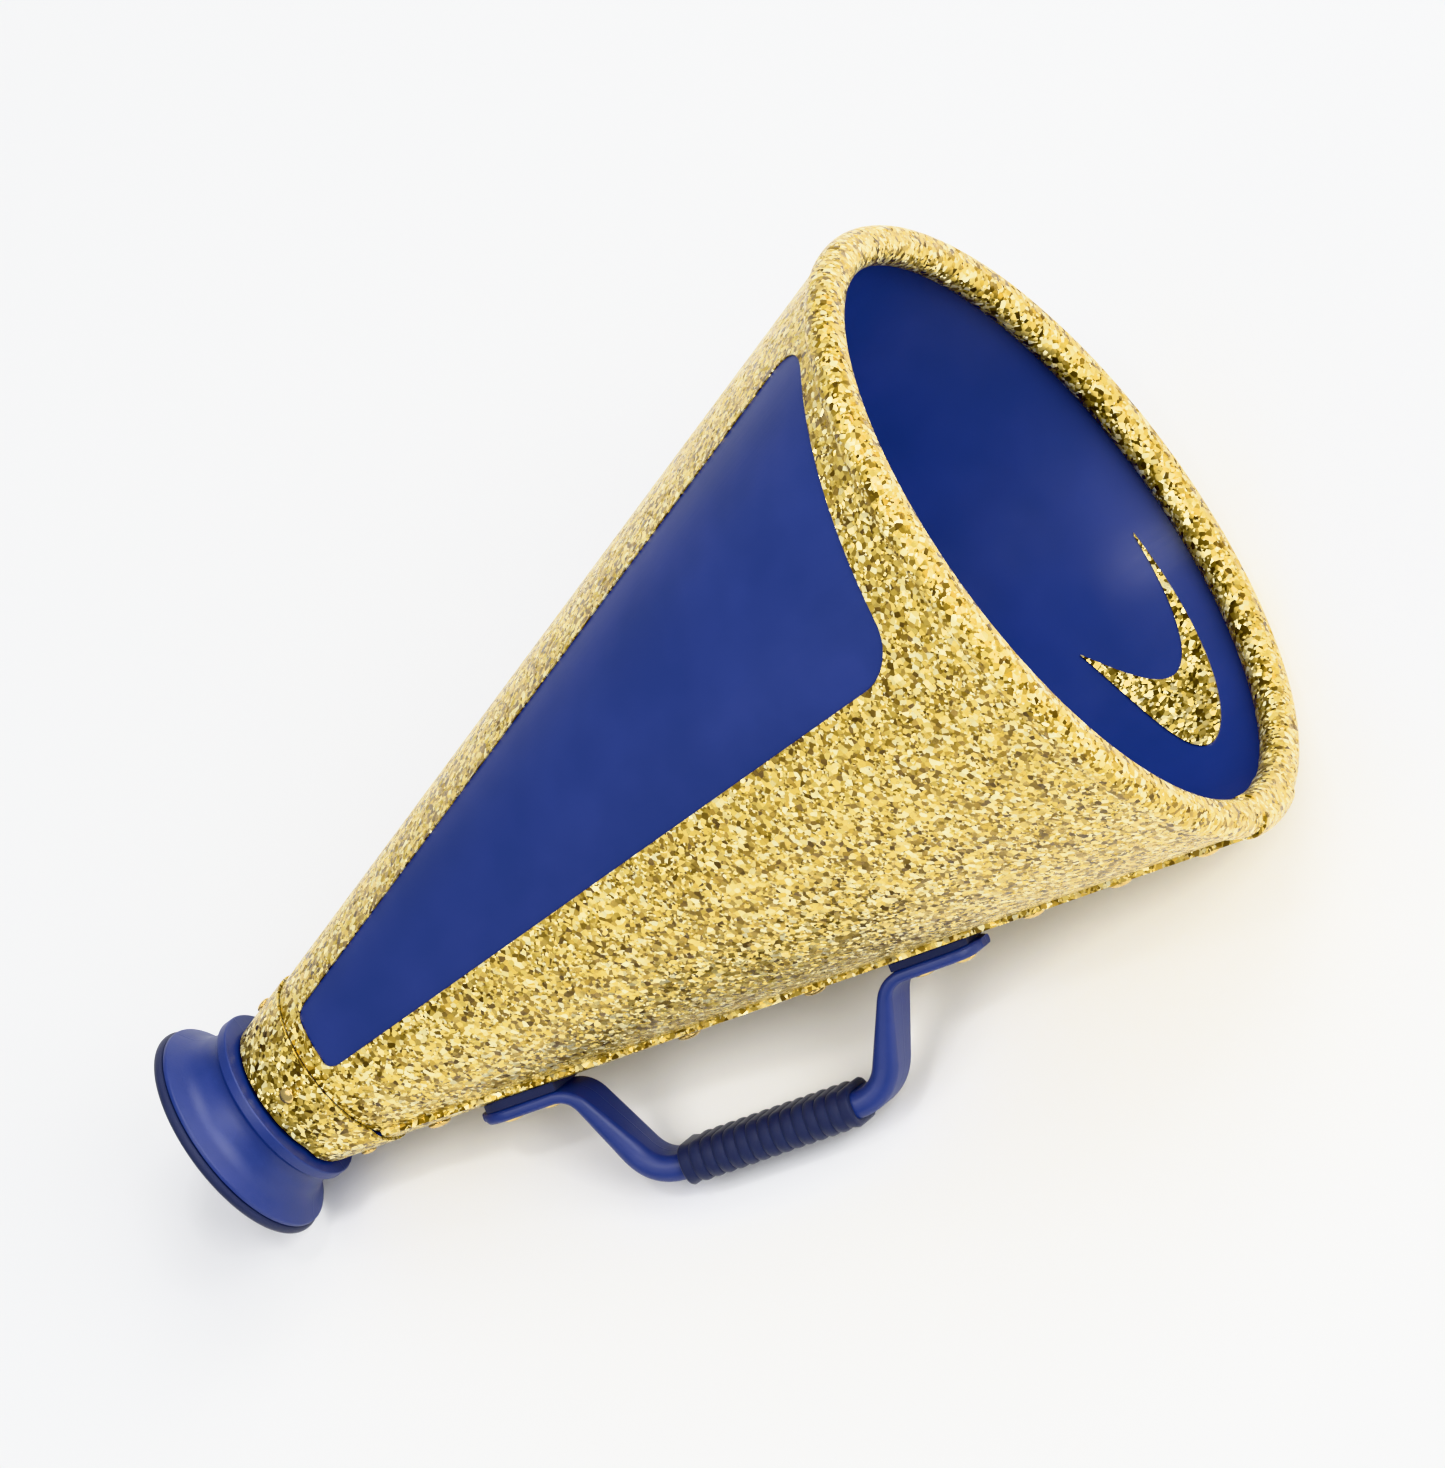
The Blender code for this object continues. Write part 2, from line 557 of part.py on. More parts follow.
def add_rivets(pose):
    lap_bottom = -SHEET - GAP
    washer_top = lap_bottom - 0.0003  # a flat washer's edge is clear of the hollow of the cone
    washer_section = [(SEAM_RIVET[2] + HOLE_SLACK, 0), (WASHER_RADIUS, 0), (WASHER_RADIUS, -WASHER),
                      (SEAM_RIVET[2] + HOLE_SLACK, -WASHER)]
    washer = mesh_from(revolve(washer_section, RIVET_STEPS), "seam_washer")
    head_lift = VINYL_TOP + GAP
    seam = rivet_mesh("seam_rivet", SEAM_RIVET, head_lift - washer_top + WASHER + GAP)
    for number, z in enumerate(SEAM_RIVET_Z, 1):
        add_piece(pose, f"seam_rivet_{number}", seam, "brass", seat(z, head_lift))
        add_piece(pose, f"seam_washer_{number}", washer, "brass", seat(z, washer_top))
    foot_top = FOOT_BOTTOM + FOOT_THICK + GAP
    through_foot = rivet_mesh("handle_rivet", SEAM_RIVET, foot_top - plate_top() + PLATE + GAP)
    for number, q in enumerate(HANDLE_RIVET_Q, 1):
        z = HANDLE_START + q * math.cos(HALF_ANGLE)
        add_piece(pose, f"handle_rivet_{number}", through_foot, "brass", seat(z, foot_top))
    neck_bottom = -SHEET - GAP - NECK_WALL - GAP
    for number, angle in enumerate(COLLAR_RIVET_ANGLES, 1):
        top = COLLAR + GAP + GAP + (0 if angle else LAP_LIFT)
        mesh = rivet_mesh(f"collar_rivet_{number}", COLLAR_RIVET, top - neck_bottom)
        add_piece(pose, f"collar_rivet_{number}", mesh, "brass", seat(COLLAR_RIVET_Z, top, angle))


def rivet_holes(pose):
    """One cutter with a hole for every rivet."""
    handle_z = [HANDLE_START + q * math.cos(HALF_ANGLE) for q in HANDLE_RIVET_Q]
    holes = [(z, 0, SEAM_RIVET[2]) for z in (*SEAM_RIVET_Z, *handle_z)]
    holes += [(COLLAR_RIVET_Z, angle, COLLAR_RIVET[2]) for angle in COLLAR_RIVET_ANGLES]
    bm = bmesh.new()
    for z, angle, shank in holes:
        radius = shank + HOLE_SLACK
        bmesh.ops.create_cone(bm, cap_ends=True, segments=RIVET_STEPS, radius1=radius, radius2=radius, depth=0.034,
                              matrix=seat(z, 0, angle))
    cutter = add_piece(pose, "rivet_holes", mesh_from(bm, "rivet_holes"), "brass")
    cutter.hide_render = True
    cutter.display_type = "WIRE"
    return cutter


# ---- How it lies ----

def floor_slope():
    """The angle between the cone's axis and the floor that touches the bead and the lip ring."""
    run, drop = CUP_BACK + GAP + LIP_ROUND, RING_RADIUS - (LIP_RADIUS - LIP_ROUND)
    return math.atan2(drop, run) + math.asin((BEAD_RADIUS - LIP_ROUND) / math.hypot(run, drop))


def handle_roll(pieces):
    """The angle from straight down at which the first point of these pieces meets the floor, as the megaphone
    rolls over onto its handle."""
    slope = floor_slope()
    touches = []
    for p in (v.co for piece in pieces for v in piece.data.vertices):
        room = RING_RADIUS + BEAD_RADIUS / math.cos(slope) - p.z * math.tan(slope)
        reach = math.hypot(p.x, p.y)
        if reach > room:
            touches.append(math.atan2(-p.y, p.x) + math.acos(room / reach))
    return max(touches)


def lay_down(pose, handle_pieces):
    """Turns the pose so that the bell faces +X and the handle is down on the -Y side, then sets the origin at the
    middle of the box that the megaphone fills, on the floor."""
    slope, roll = floor_slope(), handle_roll(handle_pieces)
    forward = Vector((math.cos(slope), 0, math.sin(slope)))
    down = Vector((math.sin(slope), 0, -math.cos(slope)))
    handle = down * math.cos(roll) + Vector((0, -math.sin(roll), 0))
    turn = Matrix((handle, handle.cross(forward), -forward)).transposed()
    pose.matrix_world = turn.to_4x4()
    bpy.context.view_layer.update()
    corners = [obj.matrix_world @ v.co for obj in pose.children if not obj.hide_render for v in obj.data.vertices]
    lowest, highest = (Vector(pick(p[k] for p in corners) for k in range(3)) for pick in (min, max))
    middle = (lowest + highest) / 2
    pose.location = (-middle.x, -middle.y, -lowest.z)


def main():
    clear_scene()
    pose = bpy.data.objects.new("resting_pose", None)
    bpy.context.scene.collection.objects.link(pose)
    holes = rivet_holes(pose)
    add_bead(pose)
    add_crescents(pose)
    add_lip_ring(pose)
    handle_pieces = [add_handle(pose), add_grip_sleeve(pose)]
    for piece in (add_cone_shell(pose), add_vinyl(pose), add_collar(pose), add_mouthpiece(pose), handle_pieces[0]):
        cut(piece, holes)
    add_saddles(pose, holes)
    add_backing_plates(pose, holes)
    add_rivets(pose)
    lay_down(pose, handle_pieces)


main()
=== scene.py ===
"""The looks of the cheer megaphone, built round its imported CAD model.

Each CAD node is replaced by a finer mesh of the same size. The meshes are modelled in the megaphone's own
axes: Z runs down the cone from the bell to the mouthpiece, with 0 at the middle of the bead, and the seam and
the handle are at +X. A point on the sheet has a height z, an angle from +X towards +Y, and a lift off the
outside of the sheet's first turn. The materials use those axes too. All lengths are in metres.
"""

import json
import math

import bmesh
import bpy
import numpy as np
from mathutils import Matrix, Vector
from mathutils.geometry import interpolate_bezier


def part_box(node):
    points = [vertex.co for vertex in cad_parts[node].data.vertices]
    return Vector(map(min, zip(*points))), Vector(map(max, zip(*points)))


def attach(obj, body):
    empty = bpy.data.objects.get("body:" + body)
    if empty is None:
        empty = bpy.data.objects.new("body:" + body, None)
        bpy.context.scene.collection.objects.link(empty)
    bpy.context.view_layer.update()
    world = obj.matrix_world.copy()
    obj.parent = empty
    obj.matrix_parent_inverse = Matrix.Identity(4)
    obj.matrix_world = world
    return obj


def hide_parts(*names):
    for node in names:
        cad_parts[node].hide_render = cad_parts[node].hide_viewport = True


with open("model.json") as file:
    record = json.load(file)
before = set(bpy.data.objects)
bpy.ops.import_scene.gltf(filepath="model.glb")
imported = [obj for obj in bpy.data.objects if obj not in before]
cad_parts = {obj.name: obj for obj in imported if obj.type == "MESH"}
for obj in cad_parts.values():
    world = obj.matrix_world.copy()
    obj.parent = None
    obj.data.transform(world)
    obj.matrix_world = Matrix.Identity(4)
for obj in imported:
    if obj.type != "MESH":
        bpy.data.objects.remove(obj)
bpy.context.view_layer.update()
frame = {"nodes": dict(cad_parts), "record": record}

# ---- Sizes that the CAD model shares ----

GAP = 0.0003  # between pieces that touch
SHEET = 0.0018
LAP_HALF = 0.014  # half the width of the overlap
LAP_STEP = 0.008  # the length over which the sheet steps out over itself
LAP_LIFT = SHEET + GAP

BEAD_RADIUS, BEAD_FLAT, BEAD_LIP = 0.0072, 0.0068, 0.0048
SLEEVE_PROUD = 0.0012

VINYL = 0.00035
VINYL_BACK = 0.3436
WINDOW_LOW, WINDOW_HIGH = 87.0, 150.0  # angles of a window's two long sides at the bell, in degrees
WINDOW_CREST = 173.6  # the angle of the line down the cone that the high side runs beside
WINDOW_DROP = 0.0105  # how far the high side stays below that line
WINDOW_FRONT_LOW, WINDOW_FRONT_HIGH, WINDOW_BACK = 0.0307, 0.0077, 0.336
WINDOW_FILLET = 8.5  # the corners' radius, in degrees round the cone
# A painted-highlight crescent's two edges, as the (angle, z) of a curve's ends and handles: gold vinyl put
# inside the bell where a highlight falls.
HIGHLIGHT_CRESCENT_OUTER = ((81.4, 0.0209), (30.0, 0.0130), (19.0, 0.0270), (67.4, 0.0590))
HIGHLIGHT_CRESCENT_INNER = ((80.8, 0.0213), (50.0, 0.0224), (47.0, 0.0310), (67.0, 0.0584))

COLLAR, COLLAR_RAMP = 0.0015, 0.006
NECK_WALL, THROAT_RADIUS, CUP_RADIUS, CUP_BACK = 0.0026, 0.0205, 0.0425, 0.394

HANDLE_START = 0.112
FOOT_LENGTH, BOW_LENGTH, BOW_HEIGHT, RISER_RUN = 0.038, 0.206, 0.047, 0.018
FOOT_THICK, GRIP_THICK, FOOT_WIDTH, GRIP_WIDTH = 0.0045, 0.010, 0.026, 0.022
SADDLE = 0.0018
GRIP_WALL, GRIP_START, GRIP_END = 0.0025, 0.068, 0.138

SEAM_RIVET = (0.0044, 0.0019, 0.0020, 0.0034)  # head radius, head height, shank radius, tail radius
COLLAR_RIVET = (0.0030, 0.0013, 0.0016, 0.0025)
RIVET_TAIL = 0.0011  # how far a rivet's tail stands beyond what it holds
SEAM_RIVETS, HANDLE_RIVETS = 6, 4
COLLAR_RIVET_ANGLES = (0, 90, 180, 270)
WASHER_RADIUS, WASHER_HOLE, WASHER = 0.0047, 0.0024, 0.0008
PLATE_LENGTH, PLATE_WIDTH, PLATE = 0.032, 0.012, 0.0012

# ---- Sizes that only the visual model has ----

SNUG = GAP * 0.3  # between pieces that are meant to look stuck together
GRIP_ROUND = 0.0042  # the rounding of the grip's section
SHEET_BANDS, VINYL_BANDS = 30, 26  # rows of faces down the cone
ROUND_STEPS, SMALL_ROUND_STEPS = 160, 48  # faces round a turned piece
FLAKE, FINE_FLAKE = 0.0019, 0.55  # the chunky flakes' width, and the fine ones' share of it


# ---- Where the megaphone lies, measured from the frame ----

def centre(node):
    """The middle of a CAD node's box."""
    return sum(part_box(node), Vector()) / 2


def own_axes():
    """The matrix from the megaphone's own axes to the frame's."""
    rest = next(m for m in frame["record"]["mounts"] if m["name"] == "bell_rest")
    forward = Vector(rest["axis"]).normalized()
    lip, grip = centre("lip_ring"), centre("grip_sleeve")
    origin = lip + forward * ((Vector(rest["pos_m"]) - lip).dot(forward) - BEAD_FLAT)
    handle = grip - origin
    handle = (handle - forward * handle.dot(forward)).normalized()
    turn = Matrix((handle, handle.cross(forward), -forward)).transposed()
    return Matrix.Translation(origin) @ turn.to_4x4()


OWN = own_axes()


def own_points(node):
    """A CAD node's points in the megaphone's own axes."""
    back = OWN.inverted()
    return np.array([back @ v.co for v in frame["nodes"][node].data.vertices])


def z_span(node):
    """The z at which a CAD node begins and ends."""
    z = own_points(node)[:, 2]
    return float(z.min()), float(z.max())


def measure_sheet():
    """The sheet's outside radius at z = 0 and its slope, away from the lap."""
    clear_of_lap, close = 1.0, 0.0001  # an angle in radians, and a distance
    points = own_points("cone_shell")
    points = points[np.abs(np.arctan2(points[:, 1], points[:, 0])) > clear_of_lap]
    r, z = np.hypot(points[:, 0], points[:, 1]), points[:, 2]
    front, back = (float(r[np.abs(z - end) < close].max()) for end in (z.min(), z.max()))
    slope = (front - back) / float(z.max() - z.min())
    return front + float(z.min()) * slope, slope


CONE_RADIUS, SLOPE = measure_sheet()
CONE_FRONT, CONE_BACK = z_span("cone_shell")
HALF_ANGLE = math.atan(SLOPE)
ALONG = Vector((-math.sin(HALF_ANGLE), 0, math.cos(HALF_ANGLE)))  # down the cone at +X
OUTWARD = Vector((math.cos(HALF_ANGLE), 0, math.sin(HALF_ANGLE)))
BELL_RADIUS = float(np.hypot(*own_points("bell_bead")[:, :2].T).max())
RING_RADIUS = BELL_RADIUS - BEAD_RADIUS
VINYL_TOP = LAP_LIFT + GAP + VINYL
FOOT_BOTTOM = VINYL_TOP + GAP + SADDLE + GAP


def cone_radius(z, lift=0.0):
    """The radius at height z, lift off the outside of the sheet."""
    return CONE_RADIUS - z * SLOPE + lift / math.cos(HALF_ANGLE)


def on_cone(angle, z, lift):
    """The point at an angle and a height, lift off the outside of the sheet."""
    r = cone_radius(z, lift)
    return Vector((r * math.cos(angle), r * math.sin(angle), z))


# ---- Mesh tools ----

def finish_mesh(bm, name, sharp=35):
    """A smooth mesh, with a sharp edge wherever it bends by more than sharp degrees."""
    mesh = bpy.data.meshes.new(name)
    bmesh.ops.recalc_face_normals(bm, faces=bm.faces)
    bm.to_mesh(mesh)
    bm.free()
    mesh.shade_smooth()
    mesh.set_sharp_from_angle(angle=math.radians(sharp))
    return mesh


def thick_grid(outer, inner, solid=None, ring=False):
    """A closed shell between two grids of points, each given as columns of rows. A cell (column, row) that
    solid refuses is left open, and a ring's last column meets its first."""
    count, rows = len(outer), len(outer[0])
    bm = bmesh.new()
    sheets = [[[bm.verts.new(p) for p in column] for column in grid] for grid in (outer, inner)]
    cells = {(c, r) for c in range(count if ring else count - 1) for r in range(rows - 1)}
    cells = {cell for cell in cells if solid is None or solid(*cell)}
    for c, r in sorted(cells):
        right = (c + 1) % count
        left = (c - 1) % count if ring else c - 1
        corners = ((c, r), (right, r), (right, r + 1), (c, r + 1))
        beyond = ((c, r - 1), (right if ring else c + 1, r), (c, r + 1), (left, r))
        top, bottom = ([sheet[i][j] for i, j in corners] for sheet in sheets)
        bm.faces.new(top)
        bm.faces.new(bottom[::-1])
        for k in range(4):
            if beyond[k] not in cells:
                a, b = k, (k + 1) % 4
                bm.faces.new((top[b], top[a], bottom[a], bottom[b]))
    bmesh.ops.delete(bm, geom=[v for v in bm.verts if not v.link_faces], context="VERTS")
    return bm


def skin(loops, ring=False):
    """A closed solid through loops of points, where a loop of one point is a tip. With ring the last loop
    meets the first, and otherwise the two ends are capped."""
    bm = bmesh.new()
    rows = [[bm.verts.new(p) for p in loop] for loop in loops]
    for a, b in zip(rows, rows[1:] + (rows[:1] if ring else [])):
        count = max(len(a), len(b))
        for k in range(count):
            n = (k + 1) % count
            corners = (a[k % len(a)], a[n % len(a)], b[n % len(b)], b[k % len(b)])
            bm.faces.new(tuple(dict.fromkeys(corners)))
    if not ring:
        for end in (rows[0], rows[-1]):
            if len(end) > 2:
                bm.faces.new(end)
    return bm


def turned(profile, steps, ring=True):
    """A profile of (radius, z) points turned round Z. Without ring it begins and ends on the axis."""
    turns = [math.tau * k / steps for k in range(steps)]
    loops = [
        [(r * math.cos(t), r * math.sin(t), z) for t in (turns if r > 0 else [0])]
        for r, z in profile
    ]
    return skin(loops, ring)


def arc(centre_point, radius, first, last, steps):
    """Points on an arc between two angles in degrees."""
    angles = [math.radians(first + (last - first) * k / steps) for k in range(steps + 1)]
    x, y = centre_point
    return [(x + radius * math.cos(a), y + radius * math.sin(a)) for a in angles]


def rounded(points, radius, steps=4, closed=True):
    """A 2-D outline with its corners rounded. radius is one number, or one for each corner. An outline that
    isn't closed keeps its two ends."""
    points = [Vector(p) for p in points]
    count = len(points)
    radii = radius if hasattr(radius, "__len__") else [radius] * count
    longest = 0.48  # the share of a side that a corner may use
    outline = []
    for k, corner in enumerate(points):
        before, after = points[k - 1], points[(k + 1) % count]
        if radii[k] == 0 or (not closed and k in (0, count - 1)):
            outline.append(corner)
            continue
        way_in, way_out = corner - before, after - corner
        bend = way_in.angle(way_out)
        reach = min(radii[k] * math.tan(bend / 2), longest * min(way_in.length, way_out.length))
        start, end = corner - way_in.normalized() * reach, corner + way_out.normalized() * reach
        for i in range(steps + 1):
            t = i / steps
            outline.append(start.lerp(corner, t).lerp(corner.lerp(end, t), t))
    return outline


def even_shares(steps):
    """Shares from 0 to 1, with both ends."""
    return [k / steps for k in range(steps + 1)]


def ease(share):
    """A share that starts and stops gently."""
    return share * share * (3 - 2 * share)


def add(name, mesh, material, nodes, place=None, bevel=0.0):
    """Puts a piece in the frame, in place of CAD nodes. place moves it within the megaphone's own axes."""
    mesh.transform(OWN @ (place or Matrix.Identity(4)))
    mesh.materials.append(material)
    piece = bpy.data.objects.new(name, mesh)
    bpy.context.scene.collection.objects.link(piece)
    if bevel:
        segments, least_angle = 3, math.radians(50)
        edge = piece.modifiers.new("soft edges", "BEVEL")
        edge.width, edge.segments = bevel, segments
        edge.limit_method, edge.angle_limit = "ANGLE", least_angle
        edge.harden_normals = True
    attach(piece, "root")
    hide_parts(*nodes)


# ---- Material tools ----

class Graph:
    """A material's node tree, with a short way to add a node and join it up."""

    def __init__(self, name):
        self.material = bpy.data.materials.new(name)
        self.material.use_nodes = True
        self.tree = self.material.node_tree
        self.shader = self.tree.nodes["Principled BSDF"]

    def add(self, kind, inputs=None, **settings):
        node = self.tree.nodes.new("ShaderNode" + kind)
        for key, value in settings.items():
            setattr(node, key, value)
        self.fill(node, inputs or {})
        return node

    def fill(self, node, inputs):
        for key, value in inputs.items():
            if isinstance(value, bpy.types.NodeSocket):
                self.tree.links.new(value, node.inputs[key])
            else:
                node.inputs[key].default_value = value

    def shade(self, **inputs):
        self.fill(self.shader, {key.replace("_", " "): value for key, value in inputs.items()})

    def place(self):
        """Where a point is in the megaphone's own axes."""
        inputs = {"Vector": self.add("TexCoord").outputs["Object"], "Location": OWN.translation}
        return self.add("Mapping", {**inputs, "Rotation": OWN.to_euler()}, vector_type="TEXTURE").outputs[0]

    def math(self, operation, *values, clamp=False):
        node = self.add("Math", dict(enumerate(values)), operation=operation, use_clamp=clamp)
        return node.outputs[0]

    def vector(self, operation, *values):
        return self.add("VectorMath", dict(enumerate(values)), operation=operation).outputs[0]

    def noise(self, where, scale, detail):
        inputs = {"Vector": where, "Scale": scale, "Detail": detail, "Roughness": 0.55}
        return self.add("TexNoise", inputs).outputs["Fac"]

    def ramp(self, value, *stops):
        """A colour ramp. Each stop is (position, colour or grey)."""
        node = self.add("ValToRGB", {"Fac": value})
        elements = node.color_ramp.elements
        while len(elements) < len(stops):
            elements.new(0.5)
        for element, (position, colour) in zip(elements, stops):
            element.position = position
            element.color = (*colour, 1) if hasattr(colour, "__len__") else (colour, colour, colour, 1)
        return node.outputs["Color"]

    def mix(self, share, first, second):
        """Two colours mixed. Each is a node's output or three numbers."""
        first, second = (c if isinstance(c, bpy.types.NodeSocket) else (*c, 1) for c in (first, second))
        share_in, first_in, second_in, colour_out = 0, 6, 7, 2  # the Mix node's sockets for colours
        inputs = {share_in: share, first_in: first, second_in: second}
        return self.add("Mix", inputs, data_type="RGBA").outputs[colour_out]

    def between(self, value, low, high):
        """Spreads a value that runs from 0 to 1 over low to high."""
        node = self.add("MapRange", {"Value": value, "To Min": low, "To Max": high})
        return node.outputs["Result"]

    def bump(self, height, strength, distance, normal=None):
        inputs = {"Height": height, "Strength": strength, "Distance": distance}
        if normal is not None:
            inputs["Normal"] = normal
        return self.add("Bump", inputs).outputs["Normal"]


# ---- Materials ----

BLUE = (0.0270, 0.0440, 0.1820)
DEEP_BLUE = (0.0210, 0.0370, 0.1580)
WORN_BLUE = (0.0520, 0.0800, 0.2800)
RUBBER_BLUE = (0.0100, 0.0150, 0.0560)
DUSTY_RUBBER = (0.0280, 0.0360, 0.0880)


def glitter():
    """Chunky and fine gold flakes, each with its own tint and tilt, under a clear film."""
    g = Graph("gold_glitter_vinyl")
    where = g.place()
    large, small = (
        g.add("TexVoronoi", {"Vector": where, "Scale": 1 / size, "Randomness": 1.0}).outputs["Color"]
        for size in (FLAKE, FLAKE * FINE_FLAKE)
    )
    patch = g.noise(where, 0.4 / FLAKE, 1.0)
    chunky = g.math("LESS_THAN", g.add("SeparateColor", {"Color": large}).outputs["Blue"], 0.6)
    chance = g.mix(chunky, small, large)
    lot = g.add("SeparateColor", {"Color": chance})
    tint = g.math("ADD", lot.outputs["Red"], g.between(patch, -0.10, 0.10))
    gold = g.ramp(
        tint,
        (0.00, (0.130, 0.068, 0.003)),
        (0.20, (0.350, 0.215, 0.020)),
        (0.45, (0.650, 0.455, 0.090)),
        (0.72, (0.880, 0.680, 0.200)),
        (1.00, (1.000, 0.920, 0.560)),
    )
    tilt = g.vector("SUBTRACT", chance, (0.5, 0.5, 0.5))
    facing = g.vector("ADD", g.add("NewGeometry").outputs["Normal"], tilt)
    g.shade(
        Base_Color=gold,
        Metallic=0.6,
        Roughness=g.between(lot.outputs["Green"], 0.18, 0.42),
        Normal=g.vector("NORMALIZE", facing),
    )
    g.shade(Coat_Weight=0.12, Coat_Roughness=0.28)
    return g.material


def sheet_plastic():
    """Satin plastic sheet: faint streaks down the cone from the extruder, slight waves and light scuffs."""
    g = Graph("royal_blue_sheet")
    where = g.place()
    xyz = g.add("SeparateXYZ", {"Vector": where})
    flat = g.add("CombineXYZ", {"X": xyz.outputs["X"], "Y": xyz.outputs["Y"]}).outputs[0]
    round_cone = g.vector("NORMALIZE", flat)
    stretched = g.vector("ADD", round_cone, g.vector("MULTIPLY", where, (0, 0, 0.35)))
    streaks = g.noise(stretched, 140.0, 2.0)
    waves = g.noise(where, 28.0, 2.0)
    grain = g.noise(where, 1500.0, 2.0)
    squeezed = g.vector("MULTIPLY", where, (60, 60, 420))
    scuffs = g.add("TexVoronoi", {"Vector": squeezed, "Scale": 1.0}).outputs["Distance"]
    sparse = g.ramp(g.noise(where, 22.0, 4.0), (0.60, 0.0), (0.74, 1.0))
    scuffed = g.math("MULTIPLY", g.ramp(scuffs, (0.0, 1.0), (0.10, 0.0)), sparse, clamp=True)
    tone = g.mix(g.ramp(waves, (0.35, 0.0), (0.65, 1.0)), DEEP_BLUE, BLUE)
    rough = g.math("ADD", g.between(streaks, 0.30, 0.42), g.math("MULTIPLY", scuffed, 0.25))
    rough = g.math("ADD", rough, g.between(grain, -0.04, 0.04))
    normal = g.bump(streaks, 0.10, 0.00012, g.bump(waves, 0.35, 0.0010))
    tone = g.mix(g.math("MULTIPLY", scuffed, 0.5), tone, WORN_BLUE)
    g.shade(Base_Color=tone, Roughness=rough, Normal=normal, Specular_IOR_Level=0.45)
    return g.material


def moulded_plastic():
    """Injection-moulded plastic: a fine spark-eroded grain, and a faint line where the mould's halves met."""
    g = Graph("royal_blue_moulding")
    where = g.place()
    off_line = g.math("ABSOLUTE", g.add("SeparateXYZ", {"Vector": where}).outputs["Y"])
    half_line = {"From Max": 0.0004, "To Min": 1.0, "To Max": 0.0}
    line = g.add("MapRange", {"Value": off_line, **half_line}).outputs["Result"]
    grain = g.noise(where, 1300.0, 2.0)
    clouds = g.noise(where, 55.0, 3.0)
    tone = g.mix(g.ramp(clouds, (0.35, 0.0), (0.70, 1.0)), DEEP_BLUE, BLUE)
    handled = g.ramp(g.noise(where, 160.0, 4.0), (0.62, 0.0), (0.72, 1.0))
    tone = g.mix(g.math("MULTIPLY", handled, 0.12), tone, WORN_BLUE)
    normal = g.bump(line, 0.6, 0.00015, g.bump(grain, 0.30, 0.00015))
    g.shade(Base_Color=tone, Roughness=g.between(clouds, 0.36, 0.50), Normal=normal)
    return g.material


def rubber():
    """Soft matt rubber, dusty in patches."""
    g = Graph("dark_blue_rubber")
    where = g.place()
    grain = g.noise(where, 1800.0, 3.0)
    dust = g.ramp(g.noise(where, 140.0, 5.0), (0.48, 0.0), (0.75, 1.0))
    tone = g.mix(g.math("MULTIPLY", dust, 0.5), RUBBER_BLUE, DUSTY_RUBBER)
    g.shade(Base_Color=tone, Roughness=g.between(dust, 0.66, 0.88), Normal=g.bump(grain, 0.45, 0.00012))
    g.shade(Sheen_Weight=0.15, Sheen_Roughness=0.5)
    return g.material


def brass():
    """Lacquered brass with fine scratches and a little tarnish."""
    g = Graph("brass")
    where = g.place()
    tarnish = g.ramp(g.noise(where, 420.0, 5.0), (0.48, 0.0), (0.80, 1.0))
    scratches = g.noise(g.vector("MULTIPLY", where, (1, 9, 1)), 1500.0, 2.0)
    tone = g.mix(g.math("MULTIPLY", tarnish, 0.7), (0.800, 0.590, 0.240), (0.420, 0.270, 0.080))
    rough = g.math("ADD", g.between(tarnish, 0.18, 0.42), g.between(scratches, -0.05, 0.08))
    g.shade(Base_Color=tone, Metallic=1.0, Roughness=rough, Normal=g.bump(scratches, 0.15, 0.00004))
    return g.material


# ---- The sheet and what is stuck on it ----

def fillet_rise(share):
    """How far a window's corner has drawn in, at a share of the way across the window: 1 at its sides, then
    down to 0."""
    x = min(1.0, min(share, 1 - share) * (WINDOW_HIGH - WINDOW_LOW) / WINDOW_FILLET)
    return 1 - math.sqrt(1 - (1 - x) ** 2)


def window_rows(low_share):
    """The window's front and back edge (z), low_share of the way from its high side to its low side."""
    front = WINDOW_FRONT_HIGH + (WINDOW_FRONT_LOW - WINDOW_FRONT_HIGH) * low_share
    corner = math.radians(WINDOW_FILLET) * fillet_rise(low_share)
    return front + corner * cone_radius(front), WINDOW_BACK - corner * cone_radius(WINDOW_BACK)


def window_lean(z):
    """How far round the surface the window's high side has moved at z, from where it is at the bell."""
    high = WINDOW_CREST - math.degrees(math.acos(1 - WINDOW_DROP / cone_radius(z)))
    return math.radians(high - WINDOW_HIGH) * cone_radius(z)


def window_shares():
    """Where the columns of faces stand across a window, closer together round its corners."""
    corner_steps, middle_steps = 10, 40
    corner = WINDOW_FILLET / (WINDOW_HIGH - WINDOW_LOW)
    side = [corner * (1 - math.cos(math.radians(90) * s)) for s in even_shares(corner_steps)]
    middle = [corner + (1 - 2 * corner) * s for s in even_shares(middle_steps)[1:-1]]
    return side + middle + [1 - s for s in side[::-1]]


